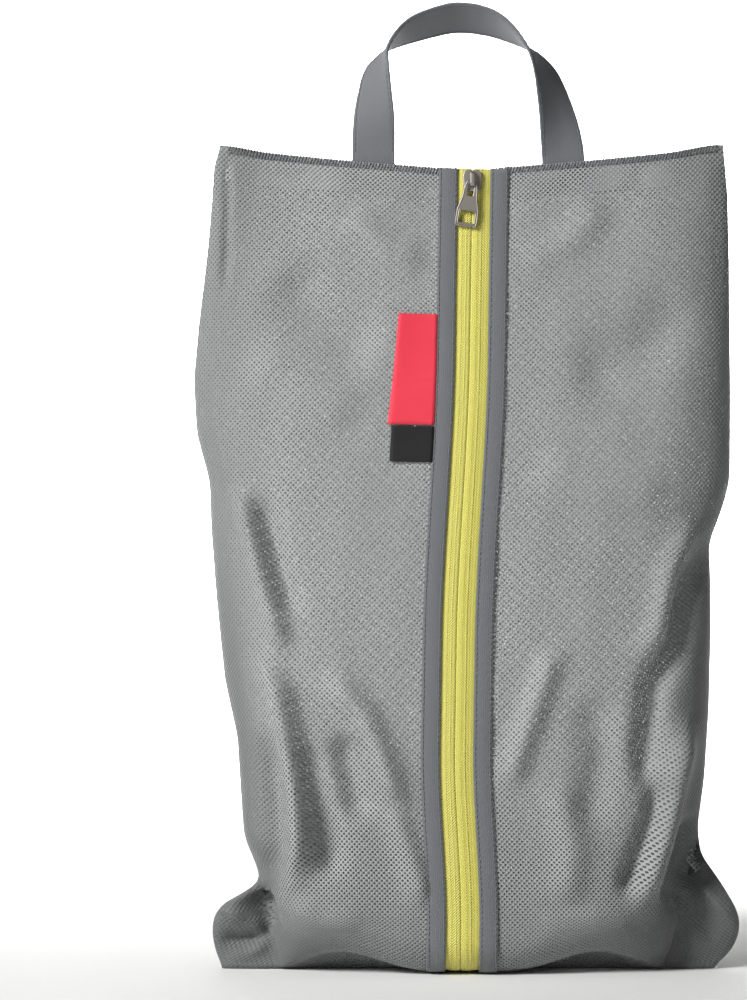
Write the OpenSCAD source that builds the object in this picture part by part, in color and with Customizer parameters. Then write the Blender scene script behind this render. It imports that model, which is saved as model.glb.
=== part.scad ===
// Mesh shoe bag: two front halves joined by a full-height zip, one back panel, a strap handle and two
// side labels. It stands on its base in the filled shape. Millimetres, +Z up, the front faces -Y.

/* [Bag] */
// Height of the sewn bag, from the floor to its top edge
bag_h = 400; // [385:1:420]
// Half the width of the widest place, at the bulge and at the bottom corners
half_w = 132; // [120:1:145]
// How far the back panel bulges behind the centre plane
back_bulge = 47; // [40:1:55]
// Lean of the front face from the vertical, in degrees
front_tilt = 5.5; // [4.5:0.1:6]
// Y of the top seam
top_seam_y = -6.5; // [-8:0.1:-5]
// Y of the middle of the bottom seam
base_seam_y = -8; // [-10:0.1:-6]
// Radius of the front edge where the front face turns under
front_radius = 16; // [12:1:20]
// Radius of the back edge where the back panel turns under
back_radius = 22; // [16:1:26]
// Thickness that a soft panel is drawn with
cloth = 1; // [0.8:0.1:1.2]
// Depth of the folded hem along the top edge
hem_h = 20; // [14:1:28]
// How far the top edge dips between its corners
top_sag = 10.5; // [0:0.5:12]

/* [Zip] */
// Half the width of lime tape that shows, from the zip's centre to the binding
tape_show = 8; // [7:0.1:9]
// Width of a binding strip
binding_w = 10; // [8:0.1:11]
// Lean of the zip to the left at the bottom, in degrees
zip_lean = 1; // [0:0.1:1.5]
// X of the zip's centre line at the top edge
zip_top_x = 2.5; // [0:0.1:4]
// Thickness of the woven tape
tape_t = 0.8; // [0.6:0.1:1]
// Width of one side's coil
coil_w = 2.4; // [2:0.1:2.6]
// How far the slider's middle sits below the top edge when closed
slider_drop = 15; // [13:0.5:20]

/* [Slider and pull] */
// Length of the slider's body
slider_l = 10.5; // [10:0.1:12]
// Width of the slider's body at its shoulders
slider_w = 9.8; // [9:0.1:10.5]
// Length of the pull, from its cross bar to its end
pull_l = 20.5; // [18:0.1:23]
// Width of the pull at its lower end
pull_w = 11; // [9:0.1:12]
// Radius of the cross bar that hangs in the bridge
bar_r = 0.8; // [0.7:0.05:0.85]

/* [Handle] */
// Width of the folded strap
strap_w = 21; // [18:0.5:25]
// Thickness of the folded strap
strap_t = 1.6; // [1.2:0.1:2]
// Height of the fold line above the top edge at the strap's outer corners
fold_rise = 2; // [1.8:0.1:2.4]

/* [Labels] */
// Width of the red label
red_w = 22; // [18:0.5:25]
// Height of the red label
red_h = 54; // [45:1:60]
// Width of the black label
black_w = 21; // [16:0.5:24]
// Height of the black label that shows
black_h = 17; // [12:1:22]
// Height of the red label's lower edge above the floor
label_z = 265; // [250:1:280]

/* [Hidden] */

mesh_grey = [0.62, 0.64, 0.65];
webbing_grey = [0.46, 0.47, 0.5];
lime = [0.8, 0.79, 0.35];
nickel = [0.5, 0.47, 0.44];

gap = 0.3;                      // clearance between neighbouring pieces
seam_gap = cloth + gap;         // a panel's edge to the seam's middle plane
seam_half = 4;                  // half the width of the base seam
tape_hidden = 3;                // tape under the binding
binding_out = tape_show + binding_w;
panel_edge = tape_show + tape_hidden + 0.5;
panel_set = 0.2;                // panel's face behind the tape's outer face
zip_end = 3;                    // zip's lower end above the floor

// Side outlines: [height, half width], from the top edge down to the ear at the floor.
left_side = [[0, 126], [6, 130], [14, half_w], [22, 126], [36, 105], [46, 104], [72, 108], [106, 110],
  [134, 115.6], [168, 119.6], [207, 123.5], [239, 127], [278, half_w], [313, 130], [375, 125], [400, 119]];
right_side = [[0, 128], [6, 130], [22, half_w], [36, 118], [46, 113.5], [72, 112.5], [106, 116],
  [134, 118], [168, 119], [207, 119], [239, 127], [278, 129], [313, 128], [375, 126.5], [400, 124]];
// Back profile: [height, how far the back panel stands behind the top seam, as a share of the bulge].
back_line = [[22, 0.72], [46, 0.78], [80, 0.86], [120, 0.94], [160, 0.99], [205, 1], [250, 0.97],
  [290, 0.88], [330, 0.62], [360, 0.4], [380, 0.24], [392, 0.13], [400, 0.075]];

// Rows of a panel. Each row is [y, z, inward normal angle, seam y, seam z].
heights = [bag_h, bag_h - 4, bag_h - 12, bag_h - hem_h, 352, 335, 313, 278, 239, 207, 168, 134, 106, 72, 56,
  46, 36, 28];
arc_steps = 5;
floor_steps = 2;

front_set = 1.5;                // front face ahead of the top seam's middle
ear_h = 40;                     // height of the ears at the lower corners
seam_bow = 8;                   // how far the side seams bow back at mid height
function plane_y(z) = top_seam_y - front_set + (z - bag_h) * tan(front_tilt);
function zip_x(z) = zip_top_x - (bag_h - z) * tan(zip_lean);
function seam_y(z) = z > ear_h ? top_seam_y + seam_bow * sin(180 * (z - ear_h) / (bag_h - ear_h)) : top_seam_y;
function mix(a, b, k) = a + (b - a) * k;
function back_y(z) = top_seam_y + (back_bulge - top_seam_y) * lookup(z, back_line);

front_arc_y = plane_y(front_radius * (1 + sin(front_tilt))) + front_radius * cos(front_tilt);
back_arc_y = back_y(back_radius) - back_radius;

front_rows = concat(
  [for (z = heights) [plane_y(z) + panel_set, z, -front_tilt, seam_y(z) - seam_gap, z]],
  [for (i = [0 : arc_steps]) let (k = i / arc_steps, a = mix(-front_tilt, 90, k))
    [front_arc_y + panel_set * (1 - k) - front_radius * cos(a), front_radius * (1 - sin(a)), a,
     mix(top_seam_y - seam_gap, base_seam_y - seam_half - gap, k), front_radius * (1 - k)]],
  [for (i = [1 : floor_steps])
    [mix(front_arc_y, base_seam_y - seam_half - gap, i / floor_steps), 0, 90,
     base_seam_y - seam_half - gap, 0]]);
back_rows = concat(
  [for (z = heights) [back_y(z), z, 180, seam_y(z) + seam_gap, z]],
  [for (i = [0 : arc_steps]) let (k = i / arc_steps, a = mix(180, 90, k))
    [back_arc_y - back_radius * cos(a), back_radius * (1 - sin(a)), a,
     mix(top_seam_y + seam_gap, base_seam_y + seam_half + gap, k), front_radius * (1 - k)]],
  [for (i = [1 : floor_steps])
    [mix(back_arc_y, base_seam_y + seam_half + gap, i / floor_steps), 0, 90,
     base_seam_y + seam_half + gap, 0]]);

// How far a panel stands out at u, from 0 at the zip line to 1 at the side seam.
function crown(u, flat, power) = u <= flat ? 1 : sqrt(max(0, 1 - pow((u - flat) / (1 - flat), power)));
front_flat = 0.45;
front_power = 2.6;
back_flat = 0.15;
back_power = 2.2;

// How far the top edge's dip lowers a point at x and z. It fades out down the bag.
dip_reach = 100;
dip_half = 0.92 * half_w;
dip_shape = 1.3;
dip_fade = 1.5;
function dip(x, z) = z <= bag_h - dip_reach ? 0
  : top_sag * (1 - pow(min(1, abs(x) / dip_half), dip_shape)) * pow((z - bag_h + dip_reach) / dip_reach, dip_fade);

function side_x(side, z) = side * lookup(z, side < 0 ? left_side : right_side);
// Point on a panel: row, side (-1 left, 1 right), x, crown shape, depth inwards, lean of the face.
function panel_point(row, side, x, flat, power, depth, lean) =
  let (x0 = zip_x(row[1]), u = min(1, abs(x - x0) / abs(side_x(side, row[4]) - x0)),
       c = crown(u, flat, power), down = dip(x, row[1]))
  [x, mix(row[3], row[0] - down * tan(lean), c) + depth * cos(row[2]),
   mix(row[4], row[1], c) - down + depth * sin(row[2])];

// Closed shell between two grids of points with the same rows and columns.
module shell(outer, inner) {
  rows = len(outer);
  cols = len(outer[0]);
  count = rows * cols;
  function at(r, c) = r * cols + c;
  points = concat([for (r = outer) for (p = r) p], [for (r = inner) for (p = r) p]);
  faces = concat(
    [for (r = [0 : rows - 2]) for (c = [0 : cols - 2]) each [
      [at(r, c), at(r + 1, c), at(r + 1, c + 1)], [at(r, c), at(r + 1, c + 1), at(r, c + 1)],
      [count + at(r, c), count + at(r + 1, c + 1), count + at(r + 1, c)],
      [count + at(r, c), count + at(r, c + 1), count + at(r + 1, c + 1)]]],
    [for (r = [0 : rows - 2]) each [
      [at(r, 0), count + at(r, 0), count + at(r + 1, 0), at(r + 1, 0)],
      [at(r, cols - 1), at(r + 1, cols - 1), count + at(r + 1, cols - 1), count + at(r, cols - 1)]]],
    [for (c = [0 : cols - 2]) each [
      [at(0, c), at(0, c + 1), count + at(0, c + 1), count + at(0, c)],
      [at(rows - 1, c), count + at(rows - 1, c), count + at(rows - 1, c + 1), at(rows - 1, c + 1)]]]);
  polyhedron(points, faces, convexity = 6);
}

// Grid of one front half, from inner_x off the zip line to the share of the way to the seam named reach.
function front_grid(side, rows, inner_x, reach, depth, steps) =
  [for (row = rows) let (x0 = zip_x(row[1]) + side * inner_x, x1 = side_x(side, row[4]))
    [for (k = [0 : steps]) let (f = side < 0 ? steps - k : k)
      panel_point(row, side, mix(x0, x1, reach * sin(90 * f / steps)), front_flat, front_power, depth,
        front_tilt)]];

function back_grid(rows, reach, depth, steps) =
  [for (row = rows) let (x0 = zip_x(row[1]))
    [for (k = [steps : -1 : -steps]) let (side = k < 0 ? -1 : 1)
      panel_point(row, side, mix(x0, side_x(side, row[4]), reach * sin(90 * abs(k) / steps)),
        back_flat, back_power, depth, 0)]];

// The hem is the cloth's second layer, folded in along the top edge.
function hem_rows(rows) = [for (row = rows) if (row[1] < bag_h && row[1] > bag_h - hem_h - cloth) row];
hem_in = cloth + gap;
hem_t = 0.8;
hem_reach = 0.88;

module front_half(side) {
  shell(front_grid(side, front_rows, panel_edge, 1, 0, 12),
    front_grid(side, front_rows, panel_edge, 1, cloth, 12));
}

module front_hem(side) {
  shell(front_grid(side, hem_rows(front_rows), panel_edge + 1, hem_reach, hem_in, 6),
    front_grid(side, hem_rows(front_rows), panel_edge + 1, hem_reach, hem_in + hem_t, 6));
}

// Overlocked seam allowance that stands inside the bag along one side.
module side_seam(side) {
  allowance = 6;
  inset = 2;
  half_t = 0.2;
  rows = [for (i = [1 : len(heights) - 1]) heights[i]];
  function line(y) = [for (z = rows) let (x = side_x(side, z) - side * inset)
    [for (k = [0, 1]) [x - side * allowance * (side < 0 ? 1 - k : k), seam_y(z) + y, z]]];
  if (side < 0) shell(line(-half_t), line(half_t));
  else shell(line(half_t), line(-half_t));
}

// Places children in the zip's own frame: origin on the tape's outer face at the top edge, +Z up the zip.
module on_zip() {
  translate([zip_top_x, plane_y(bag_h), bag_h]) rotate([-front_tilt, 0, 0]) rotate([0, zip_lean, 0]) children();
}
zip_len = (bag_h - zip_end) / cos(front_tilt) / cos(zip_lean);

// Straight bar along the zip, from x0 to x1 and y0 to y1, on one side.
module zip_bar(side, x0, x1, y0, y1) {
  on_zip() translate([side < 0 ? -x1 : x0, y0, -zip_len]) cube([x1 - x0, y1 - y0, zip_len - top_sag]);
}

module front_panel_left() { color(mesh_grey) front_half(-1); }
module front_panel_right() { color(mesh_grey) front_half(1); }
module back_panel() {
  color(mesh_grey) shell(back_grid(back_rows, 1, 0, 12), back_grid(back_rows, 1, cloth, 12));
}
module top_hem_left() { color(mesh_grey) front_hem(-1); }
module top_hem_right() { color(mesh_grey) front_hem(1); }
module top_hem_back() {
  color(mesh_grey) shell(back_grid(hem_rows(back_rows), hem_reach, hem_in, 6),
    back_grid(hem_rows(back_rows), hem_reach, hem_in + hem_t, 6));
}
module bottom_seam() {
  seam_l = 236;
  seam_t = 1.2;
  color(webbing_grey) translate([-seam_l / 2, base_seam_y - seam_half, 0]) cube([seam_l, 2 * seam_half, seam_t]);
}
module side_seam_left() { color(webbing_grey) side_seam(-1); }
module side_seam_right() { color(webbing_grey) side_seam(1); }

binding_t = 0.9;
module binding_left() {
  color(webbing_grey) zip_bar(-1, tape_show, binding_out, -gap + panel_set - binding_t, -gap + panel_set);
}
module binding_right() {
  color(webbing_grey) zip_bar(1, tape_show, binding_out, -gap + panel_set - binding_t, -gap + panel_set);
}
tape_gap = 0.45;
module zip_tape_left() { color(lime) zip_bar(-1, tape_gap, tape_show + tape_hidden, 0, tape_t); }
module zip_tape_right() { color(lime) zip_bar(1, tape_gap, tape_show + tape_hidden, 0, tape_t); }
coil_in = 0.55;
coil_t = 2.3;
module zip_coil_left() { color(lime) zip_bar(-1, coil_in, coil_in + coil_w, tape_t, tape_t + coil_t); }
module zip_coil_right() { color(lime) zip_bar(1, coil_in, coil_in + coil_w, tape_t, tape_t + coil_t); }

// Slider: two shield-shaped plates, a post between the coils at the upper end and inner side walls.
plate_t = 1.3;
slider_clear = 0.5;
plate_out = -slider_clear;
plate_in = tape_t + coil_t + slider_clear;
wall_t = 0.9;
bridge_h = 3.2;
bar_y = plate_out - plate_t - bar_r - gap;   // cross bar's axis
bar_z = -1.2;                               // cross bar's height from the slider's middle

module shield() {
  w = slider_w / 2;
  l = slider_l / 2;
  polygon([[-w + 1, -l], [w - 1, -l], [w - 0.6, -l + 3], [w, l - 3], [w - 0.8, l - 0.8], [w - 2.2, l],
    [-w + 2.2, l], [-w + 0.8, l - 0.8], [-w, l - 3], [-w + 0.6, -l + 3]]);
}
module at_slider() { on_zip() translate([0, 0, -slider_drop]) children(); }
// Extrudes a shape drawn in X and Z from y0 to y1.
module plate(y0, y1) { translate([0, y1, 0]) rotate([90, 0, 0]) linear_extrude(y1 - y0) children(); }

module slider_body() {
  post_w = 0.5;
  post_l = 3;
  color(nickel) at_slider() {
    plate(plate_out - plate_t, plate_out) shield();
    plate(plate_in, plate_in + plate_t) shield();
    plate(plate_out, plate_in) translate([-post_w / 2, slider_l / 2 - post_l - 0.5]) square([post_w, post_l]);
    for (s = [-1, 1]) translate([s * (slider_w / 2 - 1 - wall_t / 2) - wall_t / 2, tape_t + slider_clear,
      -slider_l / 2]) cube([wall_t, plate_in - tape_t - slider_clear, slider_l - 3]);
  }
}

// Cast bridge on the outer plate, open from side to side, that the pull's cross bar hangs in.
module slider_bridge() {
  bridge_w = 2.2;
  wall = 1;
  foot_low = bar_z - bar_r - gap - wall;
  foot_high = slider_l / 2 - 1.2;
  top = plate_out - plate_t;
  color(nickel) at_slider() translate([-bridge_w / 2, 0, 0]) rotate([90, 0, 90]) linear_extrude(bridge_w)
    difference() {
      union() {
        translate([top - bridge_h + wall, foot_low]) square([bridge_h - wall, foot_high - foot_low]);
        translate([top - bridge_h, foot_low + wall]) square([bridge_h, foot_high - foot_low - 2 * wall]);
        for (z = [foot_low + wall, foot_high - wall]) translate([top - bridge_h + wall, z]) circle(wall, $fn = 24);
      }
      translate([top - bridge_h + wall, foot_low + wall]) square([bridge_h, foot_high - foot_low - 2 * wall]);
    }
}

pull_lean = 5;     // it hangs with its end a little to the left
pull_out = 3;      // it leans onto the zip less than the vertical
module pull_tab() {
  arm_in = 1.5;
  arm_out = 3.1;
  eye_l = 6.6;
  thick = 1.5;
  window = [6.4, 6.6];
  rim = 2;
  color(nickel) at_slider() translate([0, bar_y, bar_z]) rotate([pull_out, pull_lean, 0]) {
    rotate([0, 90, 0]) cylinder(h = 2 * arm_out, r = bar_r, center = true, $fn = 32);
    for (s = [-1, 1]) translate([s * (arm_in + arm_out) / 2 - (arm_out - arm_in) / 2, -thick / 2, -eye_l])
      cube([arm_out - arm_in, thick, eye_l]);
    plate(-thick / 2, thick / 2) difference() {
      polygon([[-arm_out, -eye_l + 0.6], [arm_out, -eye_l + 0.6], [arm_out + 0.6, -pull_l + window[1] + rim + 2],
        [pull_w / 2, -pull_l + window[1] + rim], [pull_w / 2, -pull_l + 1], [pull_w / 2 - 1, -pull_l],
        [-pull_w / 2 + 1, -pull_l], [-pull_w / 2, -pull_l + 1], [-pull_w / 2, -pull_l + window[1] + rim],
        [-arm_out - 0.6, -pull_l + window[1] + rim + 2]]);
      translate([-window[0] / 2, -pull_l + rim]) square(window);
    }
  }
}

// Handle: a strap swept along an arch. It lies flat at its sewn feet and turns over towards the top.
// Each stop is [x, height above the fold line, turn of its width about the strap's length].
handle_stops = [[-46.2, 1.2, -2], [-46.1, 14.5, -8], [-45.6, 32.5, -37], [-44.8, 41.5, -50], [-43.2, 47.5, -64],
  [-39, 55.5, -90], [-27, 64, -118], [-12, 69, -126], [-2, 70, -127], [9.5, 68, -122], [18.5, 63.7, -110],
  [27.5, 57, -90], [33, 51.5, -74], [37.5, 44, -58], [40.2, 37, -48], [43.6, 23.5, -32], [45.8, 11, -14],
  [46.8, 1.2, -2]];
handle_foot = 57;              // x of the strap's outer corners where it is sewn in
fold_z = bag_h - dip(handle_foot, bag_h) + fold_rise;
module handle_strap() {
  last = len(handle_stops) - 1;
  steps = 2;
  stops = [for (i = [0 : last * steps]) let (a = floor(i / steps), b = min(last, a + 1), k = i / steps - a)
    mix(handle_stops[a], handle_stops[b], k)];
  rings = len(stops);
  function ring(i) =
    let (s = stops[i], ahead = stops[min(rings - 1, i + 1)], behind = stops[max(0, i - 1)],
         a = i == 0 ? 90 : i == rings - 1 ? -90 : atan2(ahead[1] - behind[1], ahead[0] - behind[0]),
         t = [cos(a), 0, sin(a)], w = [sin(a), 0, -cos(a)] * cos(s[2]) + [0, 1, 0] * sin(s[2]), n = cross(t, w))
    [for (q = [[-1, -1], [1, -1], [1, 1], [-1, 1]])
      [s[0], top_seam_y, fold_z + s[1]] + w * q[0] * strap_w / 2 + n * q[1] * strap_t / 2];
  points = [for (i = [0 : rings - 1]) each ring(i)];
  faces = concat([[0, 1, 2, 3]],
    [for (i = [0 : rings - 2]) for (j = [0 : 3]) let (a = 4 * i + j, b = 4 * i + (j + 1) % 4)
      each [[a, a + 4, b + 4], [a, b + 4, b]]],
    [[for (j = [3 : -1 : 0]) 4 * (rings - 1) + j]]);
  color(webbing_grey) polyhedron(points, faces, convexity = 6);
}

// Labels: folded tags held in the left binding's outer seam, lying on the left front panel.
label_t = 0.8;
module label(w, h, low) {
  drop = (bag_h - low) / cos(front_tilt);
  on_zip() translate([-binding_out - gap - w, -label_t - gap, -drop]) cube([w, label_t, h]);
}
module red_label() { color([0.95, 0.22, 0.28]) label(red_w, red_h, label_z); }
module black_label() { color([0.12, 0.12, 0.12]) label(black_w, black_h, label_z - black_h - 1); }

front_panel_left();
front_panel_right();
back_panel();
top_hem_left();
top_hem_right();
top_hem_back();
bottom_seam();
side_seam_left();
side_seam_right();
binding_left();
binding_right();
zip_tape_left();
zip_tape_right();
zip_coil_left();
zip_coil_right();
slider_body();
slider_bridge();
pull_tab();
handle_strap();
red_label();
black_label();
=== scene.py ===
import math

import bpy
import numpy as np
from mathutils import Matrix, Vector


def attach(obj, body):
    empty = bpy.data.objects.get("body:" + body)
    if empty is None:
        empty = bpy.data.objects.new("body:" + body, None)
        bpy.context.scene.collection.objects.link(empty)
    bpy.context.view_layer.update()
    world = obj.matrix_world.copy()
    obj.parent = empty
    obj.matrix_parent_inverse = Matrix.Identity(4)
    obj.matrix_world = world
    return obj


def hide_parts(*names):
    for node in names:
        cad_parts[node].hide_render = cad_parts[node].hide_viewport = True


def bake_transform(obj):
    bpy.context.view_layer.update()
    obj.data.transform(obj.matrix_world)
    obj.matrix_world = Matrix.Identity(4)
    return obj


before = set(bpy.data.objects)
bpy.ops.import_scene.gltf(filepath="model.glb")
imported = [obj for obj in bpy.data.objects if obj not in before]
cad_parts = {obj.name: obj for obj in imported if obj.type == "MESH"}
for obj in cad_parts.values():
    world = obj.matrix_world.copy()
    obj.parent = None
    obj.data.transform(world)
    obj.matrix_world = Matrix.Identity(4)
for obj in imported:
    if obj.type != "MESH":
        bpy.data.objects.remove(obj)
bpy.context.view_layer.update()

# Camera: level with the bag's middle, a little to its left, looking straight at the front.
camera = bpy.data.objects.new("camera", bpy.data.cameras.new("camera"))
bpy.context.scene.collection.objects.link(camera)
camera.data.lens = 133.6
camera.location = (-0.0462, -1.827, 0.2289)
camera.rotation_euler = (math.radians(90), 0, 0)
bpy.context.scene.camera = camera


# Studio: a pale floor that turns up into a backdrop, one large soft light at the upper left, a weak one at
# the right and one for the backdrop. The surround lights weakly and shows white past the floor's edges.
def linear(code):
    """Linear RGBA of an sRGB hex colour."""
    values = [int(code[i:i + 2], 16) / 255 for i in (1, 3, 5)]
    return [v / 12.92 if v <= 0.04045 else ((v + 0.055) / 1.055) ** 2.4 for v in values] + [1]


def material(name, colour, **values):
    """New material, with its shader's inputs set. Underscores stand for spaces."""
    made = bpy.data.materials.new(name)
    made.use_nodes = True
    shader = made.node_tree.nodes["Principled BSDF"]
    shader.inputs["Base Color"].default_value = linear(colour)
    for socket, value in values.items():
        shader.inputs[socket.replace("_", " ")].default_value = value
    return made


def add(tree, kind, inputs, **settings):
    """Adds a node, sets its settings, sets or links its inputs and returns its first output."""
    node = tree.nodes.new(kind)
    for name, value in settings.items():
        setattr(node, name, value)
    for socket, value in inputs.items():
        if isinstance(value, bpy.types.NodeSocket):
            tree.links.new(value, node.inputs[socket])
        else:
            node.inputs[socket].default_value = value
    return node.outputs[0]


def piece(name, points, faces, surface, cloth=None):
    """Smooth mesh object from points in millimetres. cloth holds each point's place on the flat cloth."""
    mesh = bpy.data.meshes.new(name)
    mesh.from_pydata((np.asarray(points, float) * 0.001).tolist(), [], faces)
    mesh.polygons.foreach_set("use_smooth", [True] * len(mesh.polygons))
    mesh.materials.append(surface)
    if cloth is not None:
        flat = mesh.attributes.new("cloth", "FLOAT_VECTOR", "POINT")
        flat.data.foreach_set("vector", np.asarray(cloth, np.float32).ravel())
    obj = bpy.data.objects.new(name, mesh)
    bpy.context.scene.collection.objects.link(obj)
    return obj


def grid_faces(rows, columns, closed=False):
    """Quads between the points of a grid. closed joins the last column to the first."""
    last = columns if closed else columns - 1
    return [(r * columns + c, r * columns + (c + 1) % columns,
             (r + 1) * columns + (c + 1) % columns, (r + 1) * columns + c)
            for r in range(rows - 1) for c in range(last)]


# Matt emulsion paint: even and pale, with no reflections.
painted_board = material("matt white painted board", "#E6E6E5", Roughness=0.9)
sweep = [(-1900, 0), (0, 0), (2300, 0)]
for a in np.radians(range(0, 91, 6)):
    sweep.append((2400 + 900 * math.sin(a), 900 - 900 * math.cos(a)))
sweep += [(3300, 1000), (3300, 1700)]
backdrop = piece("backdrop", [(x, y, z - 0.2) for y, z in sweep for x in (-2200, 2200)],
                 grid_faces(len(sweep), 2), painted_board)

for name, place, aim, size, power in (
        ("key_light", (-1.75, -1.5, 1.55), (0, 0, 0.2), 0.9, 100),
        ("fill_light", (0.8, -2.4, 0.8), (0, 0, 0.2), 1.6, 2),
        ("backdrop_light", (0, 1.2, 2.6), (0, 2.4, 0.6), 2.6, 250)):
    light = bpy.data.lights.new(name, "AREA")
    light.size = size
    light.energy = power
    light.spread = math.radians(80 if name == "backdrop_light" else 180)
    lamp = bpy.data.objects.new(name, light)
    bpy.context.scene.collection.objects.link(lamp)
    lamp.location = place
    lamp.rotation_euler = (Vector(aim) - lamp.location).to_track_quat("-Z", "Y").to_euler()

surround = bpy.data.worlds.new("surround")
surround.use_nodes = True
tree = surround.node_tree
tree.nodes["Background"].inputs["Color"].default_value = linear("#FFFFFF")
seen = add(tree, "ShaderNodeLightPath", {})
bright = add(tree, "ShaderNodeMapRange", {"Value": seen, "To Min": 0.07, "To Max": 1.0})
tree.links.new(bright, tree.nodes["Background"].inputs["Strength"])
bpy.context.scene.world = surround
bpy.context.scene.view_settings.view_transform = "Standard"


# Body of the bag: two front halves and one back panel of soft polyester tricot mesh, cut flat and sewn
# together at the sides and the bottom. A pair of shoes has filled it, so the front is nearly flat, the back
# bulges and the lower corners stand out as ears. The left half's cloth lies in long folds.
BAG_H = 400
TOP_Y = -6.5
TILT = math.tan(math.radians(5.5))
LEAN = math.tan(math.radians(1))
EAR_TOP = 40
CELL = (2.45, 2.5)          # one cell of the knit: a hole at each corner and one in the middle

left_side = np.array([[0, 119.5], [2, 120.8], [5, 122.4], [9, 123.6], [14, 124.8], [20, 125],
                      [25, 124.4], [29, 122.5], [33, 118.8], [36.5, 112.5], [39, 104.5], [42, 101.5],
                      [47, 102.8], [64, 109.8], [85, 111.4], [112, 113.1], [141, 119.5], [182, 123.7],
                      [214, 126.1], [238, 127], [262, 133.4], [288, 134.7], [313, 132.4], [332, 130],
                      [351, 127.6], [373, 125.6], [390, 124.5], [400, 121.2]])
right_side = np.array([[0, 118], [2, 122], [6, 127], [13, 131.5], [21, 132.9], [28, 131.6], [34, 128.4],
                       [45, 121.8], [55, 114.4], [68, 113], [93, 116.4], [125, 118.8], [161, 119.8],
                       [190, 119.8], [208, 119.2], [226, 126.1], [239, 129.4], [278, 129.6],
                       [346, 128.6], [376, 127.7], [400, 125.4]])
left_body = np.array([[0, 92], [20, 96], [36, 99.5], [42, 101.8], [47, 103.3], [64, 109.8], [75, 110.6]])
right_body = np.array([[0, 96], [20, 101], [36, 106], [55, 110.5], [68, 113], [75, 114.2]])
back_line = np.array([[22, 0.72], [46, 0.78], [80, 0.86], [120, 0.94], [160, 0.99], [205, 1], [250, 0.97],
                      [290, 0.88], [330, 0.62], [360, 0.4], [380, 0.24], [392, 0.13], [400, 0.075]])


def mix(a, b, k):
    return a + (b - a) * k


def step(low, high, x):
    """Smooth rise from 0 at low to 1 at high."""
    k = np.clip((np.asarray(x, float) - low) / (high - low), 0, 1)
    return k * k * (3 - 2 * k)


def outline(z, table):
    """Table value at a height, with its corners rounded off."""
    return sum(np.interp(z + d, table[:, 0], table[:, 1]) for d in (-4, -2, 0, 2, 4)) / 5


def plane_y(z):
    return TOP_Y - 1.5 + (z - BAG_H) * TILT


def bow(z):
    """How far the zip bows out to the left. It is straight again where the slider ends."""
    return 4.3 * step(300, 160, z) * step(22, 110, z)


def zip_x(z):
    return 2.5 - (BAG_H - z) * LEAN - bow(z)


def seam_y(z):
    return TOP_Y + 8 * np.sin(np.pi * np.clip(z - EAR_TOP, 0, None) / (BAG_H - EAR_TOP))


def back_y(z):
    return TOP_Y + 53.5 * outline(z, back_line)


def dip(x, z):
    """How far the top edge sags between its corners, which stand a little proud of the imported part."""
    sag = 10.5 * (1 - np.minimum(1, np.abs(x) / 121.4) ** 1.3) - 1.7 - 1.4 * step(96, 120, np.abs(x))
    return sag * np.clip((z - 300) / 100, 0, 1) ** 1.5


def crown(u, flat, power):
    """How far a panel stands out, from 1 in its flat middle to 0 at the side seam."""
    return np.sqrt(np.clip(1 - (np.clip(u - flat, 0, None) / (1 - flat)) ** power, 0, 1))


def rows_of(front):
    """Rows of a panel from the top edge down and under the bag: y, z, seam y and seam z."""
    radius = 16 if front else 22
    turn = 5.5 if front else 0
    z = np.linspace(BAG_H, 28, 156)
    y = plane_y(z) + 0.2 if front else back_y(z)
    upper = np.stack([y, z, seam_y(z), z], 1)
    k = np.linspace(0, 1, 13)
    a = np.radians(mix(-turn, 90, k) if front else mix(180, 90, k))
    centre = plane_y(radius) + 0.8 + radius if front else back_y(radius) - radius
    end = -12 if front else -4
    arc = np.stack([centre - radius * np.cos(a), radius * (1 - np.sin(a)), mix(TOP_Y, end, k),
                    27 * (1 - k)], 1)
    floor = np.array([[mix(centre, end, i / 5), 0, end, 0] for i in range(1, 6)])
    return np.concatenate([upper, arc, floor])


def panel(side, rows, edge, front, columns, share=1.0):
    """Grid of points of one side of a panel, from the zip edge to the side seam, in even steps of cloth."""
    flat, power = (0.45, 2.6) if front else (0.15, 2.2)
    grid = []
    for y, z, sy, sz in rows:
        x0 = zip_x(z)
        outer = outline(sz, left_side if side < 0 else right_side)
        body = min(outer, outline(sz, left_body if side < 0 else right_body))
        body = mix(body, outer, step(60, 75, sz))
        x = np.linspace(x0 + side * edge, side * outer, 500)
        u = np.abs(x - x0) / (body + side * -x0)
        past = np.clip((np.abs(x) - body + 14) / (outer - body + 14), 0, 1)
        ear = (1 - step(34, 52, sz)) * crown(past, 0, 3) * step(body - 16, body - 4, np.abs(x))
        c = np.maximum(crown(np.minimum(u, 1), flat, power), 0.14 * ear)
        down = dip(x, z)
        px = x
        py = mix(sy, y - (down * TILT if front else 0), c)
        pz = mix(sz, z, c) - down
        curl = step(body - 4, outer, np.abs(x)) * step(6, 30, sz) * (1 - step(34, 50, sz))
        py = py - 9 * curl
        top = step(378, 398, sz) * step(14, 30, np.abs(x - x0))
        if not front:
            py = mix(py, TOP_Y + 1.5, top)
        steps = np.sqrt(np.diff(px) ** 2 + np.diff(py) ** 2 + np.diff(pz) ** 2)
        along = np.concatenate([[0], np.cumsum(steps)])
        at = np.linspace(0, along[-1] * share, columns)
        grid.append(np.stack([np.interp(at, along, v) for v in (px, py, pz)] + [at], 1))
    return np.array(grid)


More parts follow.
